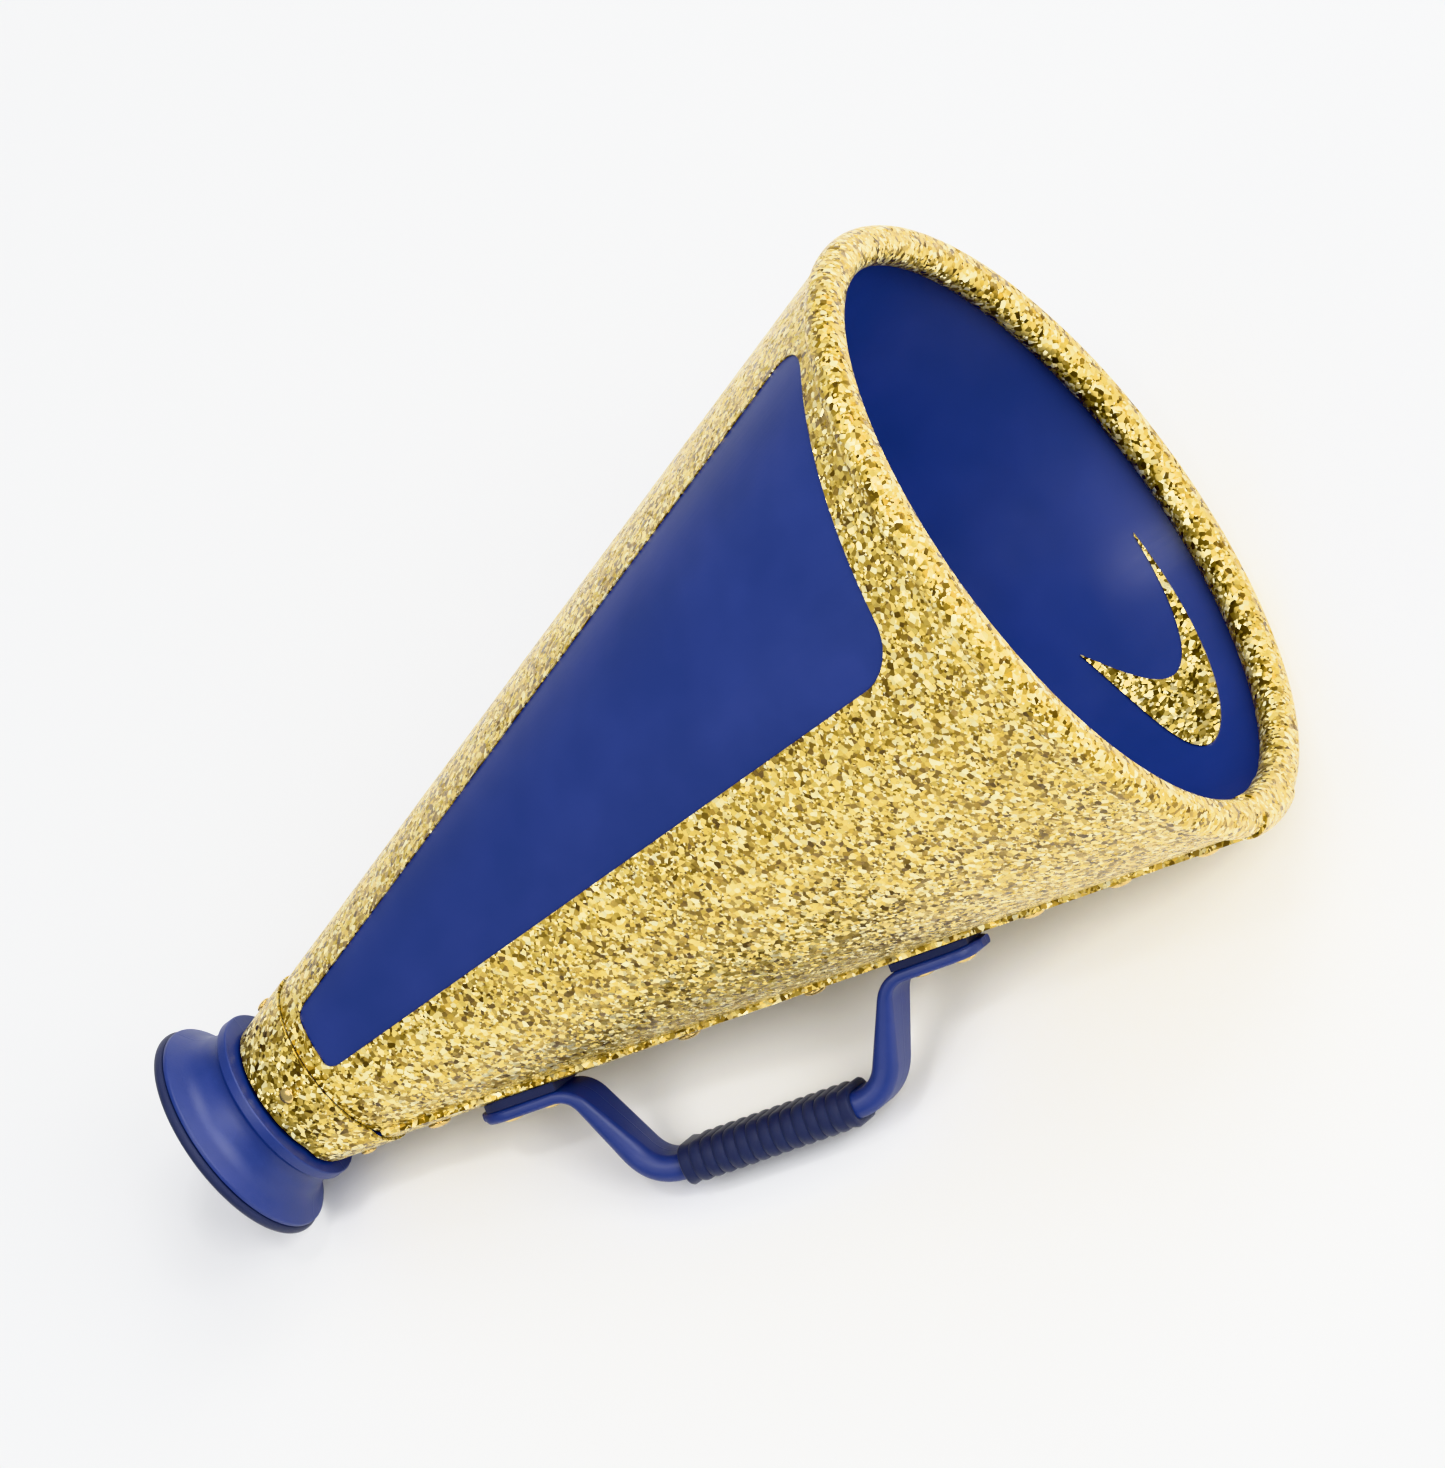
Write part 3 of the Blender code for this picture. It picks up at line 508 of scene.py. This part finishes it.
def sheet_stations():
    """The sheet's columns, from its inner edge round to its outer edge. Each is (angle, shift, lift, lean,
    rows, open): shift is a distance along the surface, lean the share of the window's lean that a column of
    the vinyl takes, rows a window's front and back edge, and open if the window is next."""
    low, high = window_rows(1.0), window_rows(0.0)
    inner_edge, lap_end = (0, -LAP_HALF, 0, 0), (0, LAP_HALF, 0, 0)
    near, far = (WINDOW_LOW, 0, 0, 0), (WINDOW_HIGH, 0, 0, 1)
    far_mirrored, near_mirrored = (360 - WINDOW_HIGH, 0, 0, -1), (360 - WINDOW_LOW, 0, 0, 0)
    step_start, step_end = (360, -LAP_HALF - LAP_STEP, 0, 0), (360, -LAP_HALF, LAP_LIFT, 0)
    outer_edge = (360, LAP_HALF, LAP_LIFT, 0)
    stretches = (
        (inner_edge, lap_end, even_shares(10), None),
        (lap_end, near, even_shares(70), None),
        (near, far, window_shares(), lambda s: window_rows(1 - s)),
        (far, far_mirrored, even_shares(60), None),
        (far_mirrored, near_mirrored, window_shares(), window_rows),
        (near_mirrored, step_start, even_shares(66), None),
        (step_start, step_end, even_shares(10), None),
        (step_end, outer_edge, even_shares(12), None),
    )
    stations = []
    for start, end, shares, edges in stretches:
        for share in shares[:-1]:
            angle, shift, lift, lean = (a + (b - a) * share for a, b in zip(start, end))
            outside = high if WINDOW_HIGH <= angle < 360 - WINDOW_HIGH else low
            rows = edges(share) if edges else outside
            stations.append((math.radians(angle), shift, lift, lean, rows, edges is not None))
    return stations + [(math.tau, LAP_HALF, LAP_LIFT, 0, low, False)]


def eased(stations):
    """The same columns with the step up on to the lap rounded at its two ends."""
    return [(angle, shift, LAP_LIFT * ease(lift / LAP_LIFT), *rest) for angle, shift, lift, *rest in stations]


def station_point(station, z, lift, slide=0.0):
    """The point at height z on a column, lift off the sheet there, and slid along the surface."""
    angle, shift, raised = station[:3]
    return on_cone(angle + (shift + slide) / cone_radius(z), z, raised + lift)


def heights(front, back, bands):
    """Heights from front to back, closer together in step with the cone's radius."""
    first, last = cone_radius(front), cone_radius(back)
    return [(CONE_RADIUS - first * (last / first) ** (k / bands)) / SLOPE for k in range(bands + 1)]


def add_sheet(plastic):
    """The plastic sheet, rolled into a cone that overlaps itself at the seam."""
    rows, stations = heights(CONE_FRONT, CONE_BACK, SHEET_BANDS), eased(sheet_stations())
    outer, inner = ([[station_point(s, z, lift) for z in rows] for s in stations] for lift in (0, -SHEET))
    mesh = finish_mesh(thick_grid(outer, inner), "rolled_sheet")
    add("rolled_sheet", mesh, plastic, ["cone_shell"], bevel=0.0003)


def add_vinyl(gold):
    """The wrap, from just behind the bead's lip to just ahead of the collar, with its two windows. Its last
    end is folded down over the sheet's outer edge."""
    behind_lip, first_end = 0.0001, 0.0009  # how far it stays behind the bead's lip, and from the folded end
    under, over = SNUG, GAP + VINYL
    first, *middle, last = [s for s in eased(sheet_stations()) if not (s[0] == 0 and s[1] < LAP_HALF)]
    is_open = [station[5] for station in (first, *middle, last)]

    def column(station, lift, slide=0.0):
        lean, window = station[3:5]
        rows = [BEAD_LIP + behind_lip, *heights(*window, VINYL_BANDS), VINYL_BACK]
        return [station_point(station, z, lift, slide + lean * window_lean(z)) for z in rows]

    def solid(k, row):
        return k >= len(is_open) or not is_open[k] or row in (0, VINYL_BANDS + 1)

    def columns(lift):
        folded = [column(last, lift, lift), column(last, under - LAP_LIFT + GAP, lift)]
        return [column(first, lift, first_end), *(column(s, lift) for s in middle), *folded]

    outer, inner = columns(over), columns(under)
    mesh = finish_mesh(thick_grid(outer, inner, solid), "glitter_vinyl")
    add("glitter_vinyl", mesh, gold, ["glitter_wrap"])


def add_painted_highlight_crescents(gold):
    """A painted highlight: a boomerang of gold vinyl on the inner wall, on each side of the handle, where a
    highlight falls inside the bell.
    """
    steps, across = 70, 12
    outer_edge, inner_edge = (
        interpolate_bezier(*(Vector(p) for p in curve), steps) for curve in (HIGHLIGHT_CRESCENT_OUTER, HIGHLIGHT_CRESCENT_INNER)
    )
    lines = [[a.lerp(b, s) for a, b in zip(outer_edge, inner_edge)] for s in even_shares(across)]
    for side, sign in (("left", 1), ("right", -1)):
        near, far = (
            [[on_cone(sign * math.radians(p.x), p.y, lift) for p in line] for line in lines]
            for lift in (-SHEET - SNUG, -SHEET - GAP - VINYL)
        )
        # each crescent is a painted highlight, made as a gold glitter vinyl piece
        name = f"crescent_{side}"
        mesh = finish_mesh(thick_grid(near, far), name)
        add(name, mesh, gold, [f"glitter_crescent_{side}"])


# ---- The bead ----

def bead_section(middle, radius, cover):
    """A round section (radius, z) with a flat front, and a slot that holds the sheet's edge under a lip.
    cover is the lift of the highest layer that the slot takes in."""
    slot_front = CONE_FRONT - GAP
    lip_angle, inner_angle = math.degrees(math.asin(BEAD_LIP / radius)), 106
    steps, inner_steps = 36, 12
    front = arc((middle, 0), radius, lip_angle, -180, steps)
    round_part = front + arc((middle, 0), radius, 180, inner_angle, inner_steps)[1:]
    inner_back = round_part[-1][1]
    under = [(cone_radius(z, -SHEET - SNUG), z) for z in (inner_back, slot_front)]
    over = [(cone_radius(z, cover + SNUG), z) for z in (slot_front, BEAD_LIP)]
    return [(r, max(z, -BEAD_FLAT)) for r, z in round_part] + under + over


def swept(section, start, end, steps):
    """A section (radius, z) swept round Z between two angles."""
    angles = [start + (end - start) * s for s in even_shares(steps)]
    return skin([[(r * math.cos(a), r * math.sin(a), z) for r, z in section] for a in angles])


def add_bead(gold):
    """The bead stops short of the lap, and a sleeve covers its two ends."""
    bead_steps, sleeve_steps, clearance = 340, 24, 0.0015
    first = (LAP_HALF + clearance) / CONE_RADIUS
    last = math.tau - (LAP_HALF + LAP_STEP + clearance) / CONE_RADIUS
    joint = GAP / CONE_RADIUS
    bead = swept(bead_section(RING_RADIUS, BEAD_RADIUS, 0), first, last, bead_steps)
    add("edge_bead", finish_mesh(bead, "edge_bead"), gold, ["bell_bead"])
    wide = bead_section(RING_RADIUS + SLEEVE_PROUD / 4, BEAD_RADIUS + SLEEVE_PROUD * 3 / 4, LAP_LIFT)
    sleeve = swept(wide, last - math.tau + joint, first - joint, sleeve_steps)
    mesh = finish_mesh(sleeve, "bead_sleeve")
    add("bead_sleeve", mesh, gold, ["bead_joint_sleeve"], bevel=0.0003)


# ---- The mouthpiece end ----

def add_collar(gold):
    """A band over the small end. It steps out over the lap, as the sheet does."""
    lap_top, clear, bands = LAP_LIFT + GAP, 0.001, 6
    # (angle, shift, lift, columns as far as the next corner)
    corners = (
        (0, LAP_HALF + clear, lap_top, 10),
        (0, LAP_HALF + clear + COLLAR_RAMP, GAP, 150),
        (360, -LAP_HALF - LAP_STEP - clear, GAP, 12),
        (360, -LAP_HALF - clear, lap_top, 36),
        (360, LAP_HALF + clear, lap_top, 0),
    )
    columns = []
    for start, end in zip(corners, corners[1:]):
        for share in even_shares(start[3])[:-1]:
            angle, shift = (a + (b - a) * share for a, b in zip(start[:2], end[:2]))
            lift = start[2] + (end[2] - start[2]) * ease(share)
            columns.append((math.radians(angle), shift, lift))
    front, back = z_span("throat_collar")
    rows = [front + (back - front) * s for s in even_shares(bands)]
    outer, inner = ([[station_point(c, z, lift) for z in rows] for c in columns] for lift in (COLLAR, 0))
    mesh = finish_mesh(thick_grid(outer, inner, ring=True), "collar_band")
    add("collar_band", mesh, gold, ["throat_collar"], bevel=0.0004)


def add_mouthpiece(plastic):
    """A neck inside the sheet's small end, a shoulder behind it, and a cup that flares to the lip. Its
    section is a list of corners (radius, z), each with its own rounding."""
    neck_front, shoulder = z_span("throat_collar")[0] + 0.001, CONE_BACK + 0.0004
    neck = [(cone_radius(z, -SHEET - GAP), z) for z in (neck_front, shoulder)]
    outside = [(0.0345, shoulder), (0.0345, shoulder + 0.0042), (0.0326, shoulder + 0.0052),
               (0.0324, 0.3800), (0.0350, 0.3875), (CUP_RADIUS, 0.3925)]
    rim = [(CUP_RADIUS, CUP_BACK), (CUP_RADIUS - 0.0035, CUP_BACK)]
    inside = [(0.0352, 0.3905), (0.0300, 0.3850), (0.0262, 0.3795),
              (THROAT_RADIUS + 0.0012, 0.3745), (THROAT_RADIUS, shoulder)]
    bore = [(cone_radius(z, -SHEET - GAP - NECK_WALL), z) for z in (CONE_BACK - 0.004, neck_front)]
    neck_round, outside_round = [0.0004, 0.0002], [0.0008, 0.0010, 0.0016, 0.020, 0.012, 0.0010]
    rim_round, inside_round = [0.0004, 0.0010], [0.010, 0.012, 0.012, 0.006, 0.004]
    bore_round = [0.004, 0.0006]
    radii = neck_round + outside_round + rim_round + inside_round + bore_round
    profile = rounded(neck + outside + rim + inside + bore, radii, steps=8)
    mesh = finish_mesh(turned(profile, ROUND_STEPS), "mouth_moulding")
    add("mouth_moulding", mesh, plastic, ["mouthpiece"])


def add_lip(soft):
    """A rubber ring on the cup's rim, with a shallow groove round its face."""
    depth, steps, groove_steps = 0.0004, 20, 10
    front, back = z_span("lip_ring")
    radii = np.hypot(*own_points("lip_ring")[:, :2].T)
    small, large = float(radii.min()), float(radii.max())
    middle, half = (front + back) / 2, (back - front) / 2
    flat = large - small - 2 * half
    outer = arc((large - half, middle), half, -90, 90, steps)
    groove = [(small + half + flat * s, back - depth * math.sin(math.pi * s) ** 2)
              for s in even_shares(groove_steps)[-2:0:-1]]
    inner = arc((small + half, middle), half, 90, 270, steps)
    mesh = finish_mesh(turned(outer + groove + inner, ROUND_STEPS), "lip_rubber")
    add("lip_rubber", mesh, soft, ["lip_ring"])


# ---- The handle ----

def handle_point(q, y, n):
    """A point on the handle: q along the cone from the handle's front end, y across it, n off the sheet."""
    return on_cone(0, HANDLE_START, 0) + ALONG * q + OUTWARD * n + Vector((0, y, 0))


def rounded_rectangle(width, height, radius, steps=7):
    """Points round a rectangle about the origin with round corners."""
    points = []
    for sx, sy, first in ((1, 1, 0), (-1, 1, 90), (-1, -1, 180), (1, -1, 270)):
        middle = (sx * (width / 2 - radius), sy * (height / 2 - radius))
        points += arc(middle, radius, first, first + 90, steps)
    return points


def bow_section(point, direction, width, thick, radius):
    """A rounded rectangle across the bow where it passes point, which is (q, n)."""
    across = Vector((-direction.y, direction.x))
    spots = ((y, point + across * h) for y, h in rounded_rectangle(width, thick, radius))
    return [handle_point(spot.x, y, spot.y) for y, spot in spots]


def add_handle(plastic):
    """The bow: a foot at each end with a rounded tip, and a thicker, narrower grip between the risers."""
    middle = FOOT_BOTTOM + FOOT_THICK / 2
    half = [(0, middle), (FOOT_LENGTH, middle), (FOOT_LENGTH + RISER_RUN, BOW_HEIGHT)]
    corners = half + [(BOW_LENGTH - q, n) for q, n in half[::-1]]
    foot_bend, grip_bend, foot_round = 0.012, 0.018, 0.0017
    path = rounded(corners, (0, foot_bend, grip_bend, grip_bend, foot_bend, 0), steps=14, closed=False)
    tip = FOOT_WIDTH / 2
    reaches = [tip * (1 - math.cos(math.radians(a))) for a in range(12, 91, 6)]
    sections = []

    def foot(start, direction):
        for reach in reaches[::direction]:
            share = max(0.35, math.sqrt(1 - (1 - reach / tip) ** 2))
            thin = min(1.0, 0.72 + reach / tip)
            spot = Vector((start + direction * reach, middle - FOOT_THICK * (1 - thin) / 2))
            radius = min(foot_round, FOOT_THICK * thin / 2.2)
            sections.append(bow_section(spot, Vector((1, 0)), FOOT_WIDTH * share, FOOT_THICK * thin, radius))

    foot(0, 1)
    for k, spot in enumerate(path[1:-1], 1):
        direction = (path[k + 1] - path[k - 1]).normalized()
        rise = min(1.0, 1.6 * (spot.y - middle) / (BOW_HEIGHT - middle))
        width = FOOT_WIDTH + (GRIP_WIDTH - FOOT_WIDTH) * rise
        thick = FOOT_THICK + (GRIP_THICK - FOOT_THICK) * rise
        radius = foot_round + (GRIP_ROUND - foot_round) * rise
        sections.append(bow_section(spot, direction, width, thick, radius))
    foot(BOW_LENGTH, -1)
    mesh = finish_mesh(skin(sections), "handle_moulding", sharp=50)
    add("handle_moulding", mesh, plastic, ["handle_bow"])


def add_grip(soft):
    """A rubber tube round the grip, with ribs across it and a plain cuff at each end."""
    ribs, depth, cuff, per_rib = 13, 0.0009, 0.0045, 10
    rounded_end = ((0.0, 0.0012), (0.0004, 0.0004), (0.0012, 0.0))  # (distance from the end, dip)
    start, end = GRIP_START + cuff, GRIP_END - cuff
    stops = [(GRIP_START + q, dip) for q, dip in rounded_end]
    for k in range(ribs * per_rib + 1):
        wave = abs(math.sin(math.pi * k / per_rib))
        stops.append((start + (end - start) * k / (ribs * per_rib), depth * (1 - wave ** 0.7)))
    stops += [(GRIP_END - q, dip) for q, dip in rounded_end[::-1]]

    def tube(more):
        sections = []
        for q, dip in stops:
            extra = more(dip)
            size = (GRIP_WIDTH + extra, GRIP_THICK + extra, GRIP_ROUND + extra / 2)
            sections.append(bow_section(Vector((q, BOW_HEIGHT)), Vector((1, 0)), *size))
        return [list(column) for column in zip(*sections)]

    outer = tube(lambda dip: 2 * (GAP + GRIP_WALL - dip))
    inner = tube(lambda dip: GAP)
    mesh = finish_mesh(thick_grid(outer, inner, ring=True), "ribbed_grip", sharp=50)
    add("ribbed_grip", mesh, soft, ["grip_sleeve"])


def add_saddles(soft):
    """A rubber saddle under each foot: flat on top, hollowed below to sit on the round of the cone, and drawn
    in under the foot's rounded tip."""
    inset, steps, across = 0.004, 44, 24
    length, width, tip = FOOT_LENGTH - 2 * inset, FOOT_WIDTH - 0.001, FOOT_WIDTH / 2

    def hollow(q, y):
        r = (on_cone(0, HANDLE_START, VINYL_TOP) + ALONG * q).x
        return VINYL_TOP + SNUG - (r - math.sqrt(r * r - y * y)) * math.cos(HALF_ANGLE)

    for side, from_tip in (("front", lambda q: q), ("rear", lambda q: BOW_LENGTH - q)):
        columns = []
        for share in even_shares(steps):
            q = inset + length * share
            half = math.sqrt(width * width / 4 - max(0.0, tip - q) ** 2)
            columns.append([(from_tip(q), half * (2 * s - 1)) for s in even_shares(across)])
        top = [[handle_point(q, y, FOOT_BOTTOM - SNUG) for q, y in column] for column in columns]
        bottom = [[handle_point(q, y, hollow(q, y)) for q, y in column] for column in columns]
        name = f"rubber_saddle_{side}"
        mesh = finish_mesh(thick_grid(top, bottom), name)
        add(name, mesh, soft, [f"saddle_{side}"], bevel=0.00025)


# ---- Rivets, washers and plates ----

def rivet_mesh(name, size, grip):
    """A domed rivet that stands on z = 0, with a tail peened over at the end of its grip."""
    head, height, shank, tail = size
    rim = 0.12  # the share of the head's height that its straight rim takes
    turns = [math.radians(a) for a in range(0, 90, 6)]
    dome = [(head * math.sin(a), height * (rim + (1 - rim) * math.cos(a))) for a in turns]
    skirt = [(head, height * 0.10), (head * 0.985, 0.0)]
    # (share of the tail's radius, depth beyond the grip)
    peened = ((0.96, 0.0), (1.0, 0.0003), (0.86, 0.0008), (0.5, 0.0010), (0.0, 0.0007))
    profile = dome + skirt + [(shank, 0.0), (shank, -grip)]
    profile += [(tail * share, -grip - depth) for share, depth in peened]
    return finish_mesh(turned(profile, SMALL_ROUND_STEPS, ring=False), name, sharp=40)


def seat(node, height, angle=0.0):
    """Where a rivet or washer stands: height below its CAD node's top, with its own Z out of the cone."""
    turn = Matrix.Rotation(math.radians(angle), 4, "Z")
    outward = turn.to_3x3() @ OUTWARD
    points = own_points(node)
    middle, top = Vector(points.mean(0)), float((points @ np.array(outward)).max())
    foot = middle + outward * (top - height - middle.dot(outward))
    return Matrix.Translation(foot) @ turn @ OUTWARD.to_track_quat("Z", "Y").to_matrix().to_4x4()


def grip_of(node, size, angle=0.0):
    """The thickness that a rivet holds, measured from its CAD node."""
    outward = Matrix.Rotation(math.radians(angle), 3, "Z") @ OUTWARD
    along = own_points(node) @ np.array(outward)
    return float(along.max() - along.min()) - size[1] - RIVET_TAIL


def add_rivets(metal):
    groups = (
        ("seam_rivet", SEAM_RIVET, (0,) * SEAM_RIVETS),
        ("handle_rivet", SEAM_RIVET, (0,) * HANDLE_RIVETS),
        ("collar_rivet", COLLAR_RIVET, COLLAR_RIVET_ANGLES),
    )
    for group, size, angles in groups:
        for number, angle in enumerate(angles, 1):
            node = f"{group}_{number}"
            mesh = rivet_mesh(f"domed_{node}", size, grip_of(node, size, angle))
            add(f"domed_{node}", mesh, metal, [node], seat(node, size[1], angle))


def add_washers(metal):
    corners = [(WASHER_HOLE, 0), (WASHER_RADIUS, 0), (WASHER_RADIUS, -WASHER), (WASHER_HOLE, -WASHER)]
    section = rounded(corners, 0.0002)
    for number in range(1, SEAM_RIVETS + 1):
        node, name = f"seam_washer_{number}", f"washer_{number}"
        mesh = finish_mesh(turned(section, SMALL_ROUND_STEPS), name)
        add(name, mesh, metal, [node], seat(node, 0.0))


def add_plates(metal):
    """A strip inside the cone behind each foot, with rounded edges."""
    for side in ("front", "rear"):
        points = own_points(f"backing_plate_{side}") - np.array(on_cone(0, HANDLE_START, 0))
        q, n = points @ np.array(ALONG), points @ np.array(OUTWARD)
        middle, top = float(q.min() + q.max()) / 2, float(n.max())
        outline = rounded_rectangle(PLATE_LENGTH, PLATE_WIDTH, 0.003)
        loops = [[handle_point(middle + a, y, level) for a, y in outline] for level in (top - PLATE, top)]
        name = f"clench_plate_{side}"
        add(name, finish_mesh(skin(loops), name), metal, [f"backing_plate_{side}"], bevel=0.0003)


# ---- Floor, lights and camera ----

def add_floor():
    g = Graph("pale_floor")
    where = g.place()
    cloud = g.noise(where, 3.0, 4.0)
    fine = g.noise(where, 420.0, 3.0)
    tone = g.mix(g.ramp(cloud, (0.3, 0.0), (0.7, 1.0)), (0.850, 0.850, 0.845), (0.875, 0.875, 0.870))
    g.shade(Base_Color=tone, Roughness=g.between(cloud, 0.55, 0.65), Normal=g.bump(fine, 0.06, 0.0002))
    g.shade(Specular_IOR_Level=0.25)
    width = 14.0
    bpy.ops.mesh.primitive_plane_add(size=width)
    floor = bpy.context.object
    floor.name = "floor"
    floor.data.materials.append(g.material)


def add_light(name, azimuth, elevation, distance, size, power, colour=(1, 1, 1)):
    """A square soft light that looks at the megaphone. Azimuth 0 is on the -Y side and 90 is at +X."""
    target = Vector((0, 0, 0.12))
    lamp = bpy.data.lights.new(name, "AREA")
    lamp.shape, lamp.size, lamp.energy, lamp.color = "SQUARE", size, power, colour
    light = bpy.data.objects.new(name, lamp)
    a, e = math.radians(azimuth), math.radians(elevation)
    way = Vector((math.sin(a) * math.cos(e), -math.cos(a) * math.cos(e), math.sin(e)))
    light.location = target + way * distance
    light.rotation_euler = way.to_track_quat("Z", "Y").to_euler()
    bpy.context.scene.collection.objects.link(light)


def add_lights():
    # name, azimuth, elevation, distance, size, power, colour
    add_light("key", -50, 58, 2.2, 1.2, 20, (1.0, 0.985, 0.96))
    add_light("fill", 52, 42, 2.4, 1.4, 35, (0.985, 0.99, 1.0))
    add_light("back", 125, 52, 2.2, 1.2, 26)
    add_light("sparkle", 10, 80, 2.6, 0.25, 8)
    add_light("bell", 84, 24, 2.2, 1.6, 28)
    world = bpy.data.worlds.new("studio")
    world.use_nodes = True
    background = world.node_tree.nodes["Background"]
    background.inputs["Color"].default_value = (0.93, 0.95, 1.0, 1)
    background.inputs["Strength"].default_value = 0.55
    bpy.context.scene.world = world


def add_camera():
    """A camera that sees the cone from its side and a little from the bell. In the picture the cone's axis
    rises to the right."""
    axis_from_view, axis_in_picture = math.radians(67.6), math.radians(36.4)
    fill, lens, sensor = 0.80, 400.0, 36.0
    frame_width, frame_height = 1445, 1468
    turn = OWN.to_3x3()
    handle, side, forward = turn.col[0], turn.col[1], -turn.col[2]
    back = forward * math.cos(axis_from_view) + side * math.sin(axis_from_view)
    level = forward * math.sin(axis_from_view) - side * math.cos(axis_from_view)
    right = level * math.cos(axis_in_picture) + handle * math.sin(axis_in_picture)
    up = back.cross(right)
    points = np.array([v.co for node in frame["nodes"].values() for v in node.data.vertices])
    ways = (right, up, back)
    spreads = [points @ np.array(way) for way in ways]
    middle = sum((way * float(p.min() + p.max()) / 2 for way, p in zip(ways, spreads)), Vector())
    across, rising = (np.ptp(p) for p in spreads[:2])
    view_height = max(across * frame_height / frame_width, rising) / fill
    data = bpy.data.cameras.new("camera")
    data.lens, data.sensor_width = lens, sensor
    camera = bpy.data.objects.new("camera", data)
    distance = view_height * lens / sensor
    facing = Matrix(ways).transposed().to_4x4()
    camera.matrix_world = Matrix.Translation(middle + back * distance) @ facing
    bpy.context.scene.collection.objects.link(camera)
    bpy.context.scene.camera = camera


def main():
    sheet, moulding, soft, metal = sheet_plastic(), moulded_plastic(), rubber(), brass()
    gold = glitter()
    add_sheet(sheet)
    add_vinyl(gold)
    # painted highlight: gold vinyl crescents inside the bell
    add_painted_highlight_crescents(gold)
    add_bead(gold)
    add_collar(gold)
    add_mouthpiece(moulding)
    add_lip(soft)
    add_handle(moulding)
    add_grip(soft)
    add_saddles(soft)
    add_rivets(metal)
    add_washers(metal)
    add_plates(metal)
    add_floor()
    add_lights()
    add_camera()
    bpy.context.scene.view_settings.view_transform = "Khronos PBR Neutral"


main()
